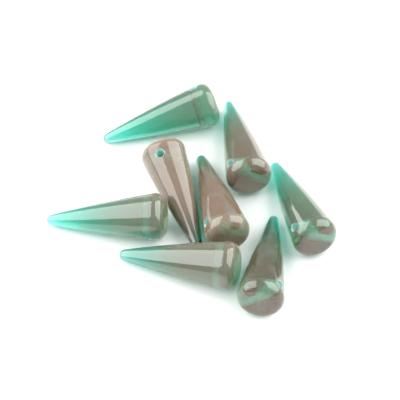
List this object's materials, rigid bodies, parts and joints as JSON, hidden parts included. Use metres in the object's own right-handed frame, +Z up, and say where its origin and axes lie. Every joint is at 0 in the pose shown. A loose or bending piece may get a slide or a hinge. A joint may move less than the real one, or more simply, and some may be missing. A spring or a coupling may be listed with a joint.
{
  "type": "spike bead set",
  "caption": "Loose pressed-glass spike beads: cones with a rounded tip and a blunt rounded butt, each drilled across near the butt for stringing, lying on their sides.",
  "frame": {"origin": "middle of the set's footprint, on the surface the beads lie on", "axes": "+Z up from the surface, +X along the longer side of the footprint, -Y towards the front of the set"},
  "size_m": [0.0404, 0.039, 0.0068],
  "materials": {
    "sea_green_glass": "fire-polished, clear, sea green fading to smoke",
    "smoky_glass": "fire-polished, clear, teal tip fading to a smoky mauve butt"
  },
  "bodies": {
    "bead_1": {"spike_bead_1": "sea_green_glass"},
    "bead_2": {"spike_bead_2": "smoky_glass"},
    "bead_3": {"spike_bead_3": "smoky_glass"},
    "bead_4": {"spike_bead_4": "smoky_glass"},
    "bead_5": {"spike_bead_5": "smoky_glass"},
    "bead_6": {"spike_bead_6": "smoky_glass"},
    "bead_7": {"spike_bead_7": "smoky_glass"},
    "bead_8": {"spike_bead_8": "smoky_glass"}
  },
  "joints": [
    {"name": "lift_1", "type": "slide", "parent": "bead_5", "child": "bead_1", "axis": [0, 0, 1], "range_m": [0, 0.03]},
    {"name": "lift_2", "type": "slide", "parent": "bead_5", "child": "bead_2", "axis": [0, 0, 1], "range_m": [0, 0.03]},
    {"name": "lift_3", "type": "slide", "parent": "bead_5", "child": "bead_3", "axis": [0, 0, 1], "range_m": [0, 0.03]},
    {"name": "lift_4", "type": "slide", "parent": "bead_5", "child": "bead_4", "axis": [0, 0, 1], "range_m": [0, 0.03]},
    {"name": "lift_6", "type": "slide", "parent": "bead_5", "child": "bead_6", "axis": [0, 0, 1], "range_m": [0, 0.03]},
    {"name": "lift_7", "type": "slide", "parent": "bead_5", "child": "bead_7", "axis": [0, 0, 1], "range_m": [0, 0.03]},
    {"name": "lift_8", "type": "slide", "parent": "bead_5", "child": "bead_8", "axis": [0, 0, 1], "range_m": [0, 0.03]}
  ]
}
